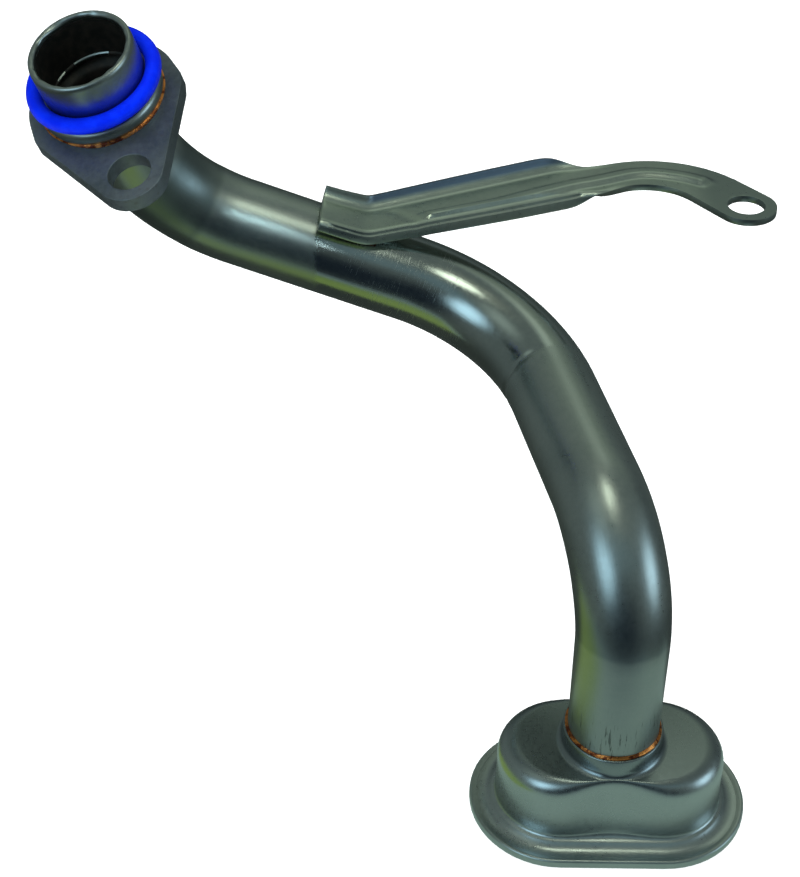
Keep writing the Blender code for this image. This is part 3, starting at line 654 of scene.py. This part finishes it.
inner_rows = [LENGTH] + list(reversed(inner_s))
# faces inside the tube past the cut edge get the near-black painted shade; the cut edge and patches of the step keep
# the steel
for poly in tube.data.polygons:
    a = poly.index // N - len(outer_s)
    if a >= 1 and a < len(inner_rows) - 1:
        s_a, s_b = inner_rows[a], inner_rows[a + 1] if a + 1 < len(inner_rows) else 0.0
        lip_ = 10.3 < s_b and s_a < 11.05 and hash01(poly.index % N // 5, 3.0) > 0.22
        poly.material_index = 0 if (s_b < 1.0 or lip_) else 1

# ------------------------------------------------------------------ O-ring and copper lines
def lathe_ring(name, frame_m, section_at, mat, node, n=144, angle=60):
    """Closed ring swept round a frame's Z; section_at(turn) gives (radius, height) points."""
    bm = bmesh.new()
    rings = []
    for i in range(n):
        q = 2 * math.pi * i / n
        rings.append([frame_m @ Vector((r * math.cos(q), r * math.sin(q), z)) for r, z in section_at(i / n)])
    rings.append(rings[0])
    grid(bm, rings, True)
    bmesh.ops.remove_doubles(bm, verts=bm.verts, dist=1e-7)
    bmesh.ops.recalc_face_normals(bm, faces=bm.faces)
    ob = new_object(name, bm, mat, node, angle)
    return ob


def seal_section(t):
    minor, major = 1.62, 12.33
    return [(major + minor * (1 + 0.006 * wobble(t, 2.2, 4)) * math.cos(a), minor * math.sin(a))
            for a in (2 * math.pi * k / 32 for k in range(32))]


lathe_ring("seal_ring", axis_frame(MOUTH - AXIS * 8.2, AXIS, BOLT_HEADING), seal_section, SEAL,
           "o_ring_seal")


def fillet_section(r_in, z_in, width, height, seed):
    def at(t):
        w = width * (1 + 0.30 * wobble(t, seed, 7, 2))
        h = height * (1 + 0.30 * wobble(t, seed + 4, 7, 3))
        pts = [(r_in, z_in), (r_in, z_in + h)]
        for k in range(1, 5):
            f = k / 4
            pts.append((r_in + w * f, z_in + h * (1 - f) ** 1.5 + 0.03))
        pts.append((r_in + w, z_in))
        return pts
    return at


lathe_ring("flange_copper", axis_frame(MOUTH - AXIS * FLANGE_DEPTH, AXIS, BOLT_HEADING),
           fillet_section(12.45, 0.0, 0.66, 0.40, 1.7), COPPER, "flange_braze")
lathe_ring("collar_copper", Matrix.Translation((0, 0, 23.7)),
           fillet_section(9.56, 0.0, 0.50, 0.62, 5.3), COPPER, "collar_braze")

# ------------------------------------------------------------------ flange
def hull(points):
    pts = sorted(set((round(x, 6), round(y, 6)) for x, y in points))

    def half(seq):
        out = []
        for p in seq:
            while len(out) > 1 and ((out[-1][0] - out[-2][0]) * (p[1] - out[-2][1])
                                    - (out[-1][1] - out[-2][1]) * (p[0] - out[-2][0])) <= 1e-9:
                out.pop()
            out.append(p)
        return out
    lower, upper = half(pts), half(reversed(pts))
    return lower[:-1] + upper[:-1]


def circle2(r, cx=0.0, cy=0.0, n=96):
    return [(cx + r * math.cos(2 * math.pi * k / n), cy + r * math.sin(2 * math.pi * k / n)) for k in range(n)]


def plate(name, loops, thickness, frame_m, mat, node, edge=0.45, segments=4):
    """Flat plate from outlines in mm, its top in the frame's XY plane, edges rounded."""
    cu = bpy.data.curves.new(name + "_outline", "CURVE")
    cu.dimensions, cu.fill_mode, cu.extrude = "2D", "BOTH", thickness * MM / 2
    for loop in loops:
        sp = cu.splines.new("POLY")
        sp.points.add(len(loop) - 1)
        for point, (x, y) in zip(sp.points, loop):
            point.co = (x * MM, y * MM, 0.0, 1.0)
        sp.use_cyclic_u = True
    tmp = bpy.data.objects.new(name + "_outline", cu)
    bpy.context.scene.collection.objects.link(tmp)
    bpy.context.view_layer.update()
    me = bpy.data.meshes.new_from_object(tmp.evaluated_get(bpy.context.evaluated_depsgraph_get()))
    bpy.data.objects.remove(tmp, do_unlink=True)
    bm = bmesh.new()
    bm.from_mesh(me)
    bmesh.ops.remove_doubles(bm, verts=bm.verts, dist=1e-6)
    bmesh.ops.recalc_face_normals(bm, faces=bm.faces)
    flat = bmesh.ops.dissolve_limit(bm, angle_limit=0.01, verts=bm.verts, edges=bm.edges)
    shift = Matrix.Translation((0, 0, -thickness / 2 * MM))
    fm = frame_m.copy()
    fm.translation = fm.translation * MM
    bm.transform(fm @ shift)
    ob = new_object(name, bm, mat, node, 30)
    mod = ob.modifiers.new("edge", "BEVEL")
    mod.width, mod.segments, mod.limit_method, mod.angle_limit = edge * MM, segments, "ANGLE", math.radians(50)
    mod.harden_normals = False
    return ob


outline = []
for cx, cy, r in ((0, 0, 15.7), (21.76, 0, 7.0), (3.9, 12.55, 3.2), (1.7, 13.85, 2.4), (3.9, -12.55, 3.2)):
    outline += circle2(r, cx, cy, 120)
flange_frame = axis_frame(MOUTH - AXIS * FLANGE_DEPTH, AXIS, BOLT_HEADING)
plate("flange_plate", [hull(outline), circle2(9.9, n=72), circle2(4.35, 21.76, 0.0, 64)], FLANGE_T,
      flange_frame, FLANGE, "mounting_flange", 0.6, 5)

# ------------------------------------------------------------------ strainer housing
CUP_A, CUP_R, CUP_TOP, CUP_ROUND = 10.75, 13.25, 18.9, 4.5
COLLAR_R, COLLAR_TOP, COLLAR_FLARE = 10.475, 23.65, 1.5
N_ARC, N_STRAIGHT = 30, 26
PERIM = []
for side_, start_ in ((1, -90.0), (-1, 90.0)):
    for k in range(N_ARC + 1):
        PERIM.append((float(side_), math.radians(start_ + 180.0 * k / N_ARC)))
    for k in range(1, N_STRAIGHT):
        PERIM.append((side_ * (1 - 2.0 * k / N_STRAIGHT), math.radians(start_ + 180.0)))


def obround(a, r, z, waist=0.0):
    out = []
    for s, t in PERIM:
        y = r * math.sin(t)
        if abs(s) < 1:
            y -= math.copysign(waist * math.cos(math.pi * s / 2) ** 2, y)
        out.append((s * a + r * math.cos(t), y, z))
    return out


def ring_circle(r, z):
    out = []
    for s, t in PERIM:
        x, y = s * 6.0 + 11.0 * math.cos(t), 11.0 * math.sin(t)
        d = math.hypot(x, y)
        out.append((r * x / d, r * y / d, z))
    return out


neck = ring_circle(COLLAR_R, 0)
wall = obround(CUP_A, CUP_R, 0, 1.6)


def blend(z, flare, f):
    out = []
    for c, w in zip(neck, wall):
        d = math.hypot(w[0] - c[0], w[1] - c[1])
        fl, rd = min(COLLAR_FLARE, 0.45 * d), min(CUP_ROUND, 0.55 * d)
        h = fl * flare + (d - fl - rd) * smooth(flare, 0.999, 1.0) + rd * f
        out.append((c[0] + (w[0] - c[0]) * h / d, c[1] + (w[1] - c[1]) * h / d, z))
    return out


def shell_rings():
    rings = [ring_circle(COLLAR_R - 0.55, COLLAR_TOP - 0.05), ring_circle(COLLAR_R - 0.3, COLLAR_TOP),
             ring_circle(COLLAR_R - 0.08, COLLAR_TOP - 0.1), ring_circle(COLLAR_R, COLLAR_TOP - 0.3)]
    rings.append(ring_circle(COLLAR_R, CUP_TOP + COLLAR_FLARE + 0.5))
    for k in range(0, 10):
        q = math.pi / 2 * k / 9
        rings.append(blend(CUP_TOP + COLLAR_FLARE * (1 - math.sin(q)), (1 - math.cos(q)) * 0.999, 0.0))
    for k in range(0, 13):
        q = math.pi / 2 * k / 12
        rings.append(blend(CUP_TOP - CUP_ROUND * (1 - math.cos(q)), 1.0, math.sin(q)))
    for z in (12.6, 10.8, 9.0, 7.2, 5.6):
        rings.append(obround(CUP_A, CUP_R, z, 0.6 + 1.0 * (z - 4.0) / 10.4))
    foot = 4.4
    rings.append(obround(CUP_A, CUP_R, foot, 0.6))
    for k in range(1, 6):
        q = math.pi / 2 * k / 5
        rings.append(obround(CUP_A, CUP_R + 0.9 * (1 - math.cos(q)), foot - 1.3 * math.sin(q), 0.6 * (1 - k / 5)))
    for r, z in ((14.42, 2.86), (14.72, 2.60), (15.08, 2.34), (15.5, 2.13), (16.0, 1.98), (16.55, 1.91), (17.1, 1.91), (17.6, 1.95), (17.9, 1.97)):
        rings.append(obround(CUP_A, r, z))
    return rings


bm = bmesh.new()
rings = shell_rings()
grid(bm, rings, True)
bmesh.ops.remove_doubles(bm, verts=bm.verts, dist=1e-7)
bmesh.ops.recalc_face_normals(bm, faces=bm.faces)
housing = new_object("housing_shell", bm, HOUSING, "strainer_housing", 45)
if sum((f.center.xy.to_3d() - Vector((0, 0, 0))).dot(f.normal) for f in housing.data.polygons) < 0:
    housing.data.flip_normals()
mod = housing.modifiers.new("sheet", "SOLIDIFY")
mod.thickness, mod.offset = 0.75 * MM, -1.0

# ------------------------------------------------------------------ bottom cover with folded rim
COVER_A = 10.9


def rim_loop(r, z):
    out = []
    for s, t in PERIM:
        out.append((s * COVER_A + r * math.cos(t), r * math.sin(t), z))
    return out


def window_loop(f, z, r=9.0):
    """One outline round both windows for the cover's inner edge."""
    out = []
    for s, t in PERIM:
        out.append((s * 10.5 + r * math.cos(t), r * math.sin(t), z))
    return out


bm = bmesh.new()
rings = [window_loop(1, 0.68), window_loop(1, 0.06, 9.0), window_loop(1, 0.0, 9.1), rim_loop(17.9, 0.0), rim_loop(18.4, 0.02),
         rim_loop(18.66, 0.12), rim_loop(18.78, 0.3), rim_loop(18.82, 0.6), rim_loop(18.82, 1.45),
         rim_loop(18.79, 1.72), rim_loop(18.70, 1.93), rim_loop(18.56, 2.08), rim_loop(18.38, 2.16), rim_loop(18.15, 2.17),
         rim_loop(17.85, 2.12), rim_loop(17.55, 2.06), rim_loop(17.3, 2.01), rim_loop(17.28, 1.95), rim_loop(17.6, 1.98),
         rim_loop(17.95, 2.0), rim_loop(18.0, 1.85), rim_loop(18.0, 0.72), window_loop(1, 0.7, 9.05), window_loop(1, 0.68)]
grid(bm, rings, True)
bmesh.ops.remove_doubles(bm, verts=bm.verts, dist=1e-7)
bmesh.ops.recalc_face_normals(bm, faces=bm.faces)
# the bar between the two windows
section = []
for cx, cz, a0 in ((2.0, 0.52, 0.0), (-2.0, 0.52, 90.0), (-2.0, 0.20, 180.0), (2.0, 0.20, 270.0)):
    for k in range(6):
        q = math.radians(a0 + 18.0 * k)
        section.append((cx + 0.17 * math.cos(q), cz + 0.17 * math.sin(q)))
bar_rings = []
for k in range(13):
    y = -9.15 + 18.3 * k / 12
    wide = 0.55 * smooth(abs(y), 6.5, 9.1)
    bar_rings.append([(x + math.copysign(wide, x), y, z) for x, z in section])
bar_rows = grid(bm, bar_rings, True)
bm.faces.new(list(reversed(bar_rows[0])))
bm.faces.new(bar_rows[-1])
bmesh.ops.recalc_face_normals(bm, faces=bm.faces)
cover = new_object("cover_skin", bm, COVER, "bottom_cover", 45)

# ------------------------------------------------------------------ woven screen
bm = bmesh.new()
PITCH, WIRE = 1.25, 0.16
Z_MESH = 2.4


def wire(p_of, length, steps):
    pts = [p_of(lerp(-length, length, k / steps)) for k in range(steps + 1)]
    rings = []
    for k, p in enumerate(pts):
        a, b = pts[max(k - 1, 0)], pts[min(k + 1, steps)]
        tan = (Vector(b) - Vector(a)).normalized()
        side = tan.cross(Vector((0, 0, 1))).normalized()
        up = side.cross(tan)
        rings.append([Vector(p) + side * WIRE * math.cos(q) + up * WIRE * math.sin(q)
                      for q in (2 * math.pi * j / 5 for j in range(5))])
    rows_ = grid(bm, rings, True)
    bm.faces.new(rows_[0])
    bm.faces.new(list(reversed(rows_[-1])))


def reach_x(y, r=12.5):
    return 10.7 + math.sqrt(max(r * r - y * y, 0.0))


def reach_y(x, r=12.5):
    d = max(abs(x) - 10.7, 0.0)
    return math.sqrt(max(r * r - d * d, 0.0))


for j in range(-8, 9):
    y0 = j * PITCH
    L = reach_x(y0)
    wire(lambda t, y0=y0, j=j: (t, y0, Z_MESH + 0.16 * math.cos(math.pi * (t / PITCH + j))), L, max(8, int(L / PITCH * 6)))
for i in range(-17, 18):
    x0 = i * PITCH
    L = reach_y(x0)
    if L > 1.5:
        wire(lambda t, x0=x0, i=i: (x0, t, Z_MESH - 0.16 * math.cos(math.pi * (t / PITCH + i))), L, max(6, int(L / PITCH * 6)))
screen = new_object("woven_screen", bm, SCREEN, "wire_screen", 60)

# ------------------------------------------------------------------ bracket
PLATE_Z, PLATE_T, FOLD_X = 103.5, 1.5, -52.5
STRIP_START = Vector((-52.25, 70.8, 0))
HEAD = math.radians(23.1)
FWD, SIDE = Vector((math.cos(HEAD), math.sin(HEAD), 0)), Vector((-math.sin(HEAD), math.cos(HEAD), 0))
tube_dir = (CORNERS[2] - CORNERS[1]).normalized()
SLOPE = -tube_dir.z / tube_dir.x
STRIP_EDGES = ((0.0, 5.48, -5.58, 2.4, 2.7), (20.0, 5.96, -6.1, 2.7, 3.1),
               (32.0, 6.25, -6.4, 2.8, 3.3), (44.5, 6.52, -6.66, 2.8, 3.3),
               (47.0, 6.5, -6.9, 2.5, 3.1), (49.0, 5.9, -7.4, 1.7, 1.6), (51.0, 4.7, -7.95, 0.8, 0.2),
               (53.2, 3.4, -8.0, 0.12, 0.0), (54.4, 3.0, -7.85, 0.0, 0.0))
STRIP_RIB = ((10.0, -2.8), (29.0, -3.8), (47.0, -2.6), (54.2, -3.1))
RIBBON_RIB = ((0.0, -0.9), (24.0, -0.3), (48.0, -0.4), (76.0, 0.5))
LIP_ROUND, SKIRT_ROUND = 2.7, 1.62
stations = []      # far, near, lip, skirt, rib offset, rib width, rib height
for k in range(13):
    f = k / 13
    x = FOLD_X - 9.75 * (1 - f)
    stations.append([Vector((x, lerp(75.65, 76.7, f * f), 0)), Vector((x, lerp(64.05, 64.6, f * f), 0)),
                     2.2 + 0.2 * f, 2.3 + 0.4 * f, -2.5, 1.0, 0.0])
far_0 = (Vector((FOLD_X, 76.7, 0)) - STRIP_START).dot(FWD)
near_0 = (Vector((FOLD_X, 64.6, 0)) - STRIP_START).dot(FWD)
s = 0.0
while s < 54.3:
    sf = far_0 + s * (1 - far_0 / 15.0) if s < 15.0 else s
    sn = near_0 + s * (1 - near_0 / 15.0) if s < 15.0 else s
    ef, en = table(STRIP_EDGES, sf), table(STRIP_EDGES, sn)
    mid_off = (ef[0] + en[1]) / 2
    stations.append([STRIP_START + FWD * sf + SIDE * ef[0], STRIP_START + FWD * sn + SIDE * en[1],
                     ef[2], en[3], table(STRIP_RIB, s)[0] - mid_off, 1.35 + 0.55 * smooth(s, 12, 40),
                     0.9 * smooth(s, 10.8, 13.2)])
    s += 0.8
HEAD_R, TURN_R, R_RIB = math.radians(28.76), math.radians(81.06), 18.02


def normal_at(q):
    return Vector((-math.sin(HEAD_R - q), math.cos(HEAD_R - q), 0))


arc_c = Vector((0.76, 91.01, 0)) - normal_at(0.0) * R_RIB
for k in range(31):
    q = TURN_R * k / 30
    n_, c_ = normal_at(q), arc_c + normal_at(q) * R_RIB
    half = lerp(5.2, 6.45, k / 30)
    stations.append([c_ + n_ * half, c_ - n_ * half, 0.0, 0.0, table(RIBBON_RIB, math.degrees(q))[0], 1.9,
                     0.9 * (1 - smooth(math.degrees(q), 70.0, 77.0))])
n1 = normal_at(TURN_R)
d1 = Vector((n1.y, -n1.x, 0))
arc_end = arc_c + n1 * R_RIB
for k in range(1, 11):
    s = 9.87 * k / 10
    half = lerp(6.45, 6.63, k / 10)
    c_ = arc_end + d1 * s
    stations.append([c_ + n1 * half, c_ - n1 * half, 0.0, 0.0, 0.5, 1.7, 0.0])
for _ in range(7):                 # ease the corners of the edges in plan
    old = [(st[0].copy(), st[1].copy(), st[2], st[3], st[4]) for st in stations]
    for i in range(1, len(stations) - 11):
        for k in range(5):
            stations[i][k] = old[i][k] * 0.5 + (old[i - 1][k] + old[i + 1][k]) * 0.25


def base_z(x):
    w = 0.55
    e = (FOLD_X - x) / w
    return PLATE_Z + SLOPE * w * (e if e > 30 else math.log1p(math.exp(e)))


CREASE_A, CREASE_B = Vector((-47.0, 74.5, 0)), Vector((-39.5, 68.0, 0))


def surface(p, lift=0.0):
    """Point at plan position p on the plate, raised by lift, with the shallow crease."""
    d = CREASE_B - CREASE_A
    f = min(max((p - CREASE_A).dot(d) / d.length_squared, 0.0), 1.0)
    away = (p - (CREASE_A + d * f)).length
    return Vector((p.x, p.y, base_z(p.x) + lift - 0.16 * math.exp(-(away / 1.3) ** 2)))


def up_at(x):
    f = smooth(x, FOLD_X + 0.8, FOLD_X - 0.8)
    return Vector((SLOPE * f, 0, 1)).normalized()


N_FOLD, N_MID = 9, 21


def fold_points(edge, out, height, radius, sign):
    steep = math.radians(70.0 if sign > 0 else 88.0)
    angle = steep if height >= radius * (1 - math.cos(steep)) else math.acos(1 - height / radius)
    arc = radius * angle
    reach = max((height - radius * (1 - math.cos(angle))) / math.sin(angle), 0.0) if angle > 0.01 else 0.0
    reach = max(reach, 1.2 - arc)
    start = edge - out * (radius * math.sin(angle) + reach * math.cos(angle))
    pts = []
    for k in range(N_FOLD):
        d = (arc + reach) * k / (N_FOLD - 1)
        q, rest = min(d / radius, angle), max(d - arc, 0.0)
        plan = start + out * (radius * math.sin(q) + rest * math.cos(angle))
        pts.append(surface(Vector((start.x, start.y, 0)))
                   + (Vector((plan.x, plan.y, 0)) - Vector((start.x, start.y, 0)))
                   + up_at(start.x) * sign * (radius * (1 - math.cos(q)) + rest * math.sin(angle)))
    return pts


rings = []
for far, near, lip, skirt, rib, rib_w, rib_h in stations:
    n_ = (far - near).normalized()
    half = (far - near).length / 2
    mid_p = (far + near) / 2
    a_pts = fold_points(far, n_, lip, LIP_ROUND, 1)
    b_pts = fold_points(near, -n_, skirt, SKIRT_ROUND, -1)
    groove = 0.30 * smooth(skirt, 1.9, 2.6) * smooth(near.x, -62.0, -60.0)
    b_pts[3] = b_pts[3] + (n_ * 0.75 - Vector((0, 0, 0.65))) * groove
    ha = (Vector((a_pts[0].x, a_pts[0].y, 0)) - mid_p).dot(n_)
    hb = (Vector((b_pts[0].x, b_pts[0].y, 0)) - mid_p).dot(n_)
    ring = list(reversed(a_pts))
    for k in range(1, N_MID):
        off = lerp(ha, hb, k / N_MID)
        bump_ = rib_h * smooth(abs(off - rib) / rib_w, 1.35, 0.45)
        ring.append(surface(mid_p + n_ * off, bump_))
    ring += b_pts
    rings.append(ring)
eye = arc_end + d1 * 9.87
eye.z = PLATE_Z
shares = [(p - eye).dot(n1) / 6.63 for p in rings[-1]]
for k in range(1, 17):
    q = math.radians(84.0) * k / 16
    c_ = eye + d1 * 6.63 * math.sin(q)
    rings.append([c_ + n1 * 6.63 * math.cos(q) * f for f in shares])
bm = bmesh.new()
grid(bm, rings, False)
bracket = new_object("bracket_strip", bm, BRACKET, "support_bracket", 38)
if bracket.data.polygons[len(bracket.data.polygons) // 2].normal.z < 0:
    bracket.data.flip_normals()
mod = bracket.modifiers.new("sheet", "SOLIDIFY")
mod.thickness, mod.offset, mod.use_even_offset = PLATE_T * MM, -1.0, False
cut = bpy.data.meshes.new("eye_cutter")
bmc = bmesh.new()
bmesh.ops.create_cone(bmc, cap_ends=True, segments=72, radius1=4.1 * MM, radius2=4.1 * MM, depth=8 * MM)
bmc.to_mesh(cut)
bmc.free()
cutter = bpy.data.objects.new("eye_cutter", cut)
bpy.context.scene.collection.objects.link(cutter)
cutter.location = eye * MM
mod = bracket.modifiers.new("eye", "BOOLEAN")
mod.operation, mod.solver, mod.object = "DIFFERENCE", "EXACT", cutter
mod = bracket.modifiers.new("edge", "BEVEL")
mod.width, mod.segments, mod.limit_method, mod.angle_limit = 0.22 * MM, 2, "ANGLE", math.radians(55)
bpy.context.view_layer.update()
me = bpy.data.meshes.new_from_object(bracket.evaluated_get(bpy.context.evaluated_depsgraph_get()))
bracket.modifiers.clear()
bracket.data = me
bpy.data.objects.remove(cutter, do_unlink=True)
me.shade_smooth()
me.set_sharp_from_angle(angle=math.radians(38))

# the braze under the bracket keeps its plain bars
for n in ("bracket_braze_far", "bracket_braze_near"):
    for slot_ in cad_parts[n].material_slots:
        slot_.material = COPPER
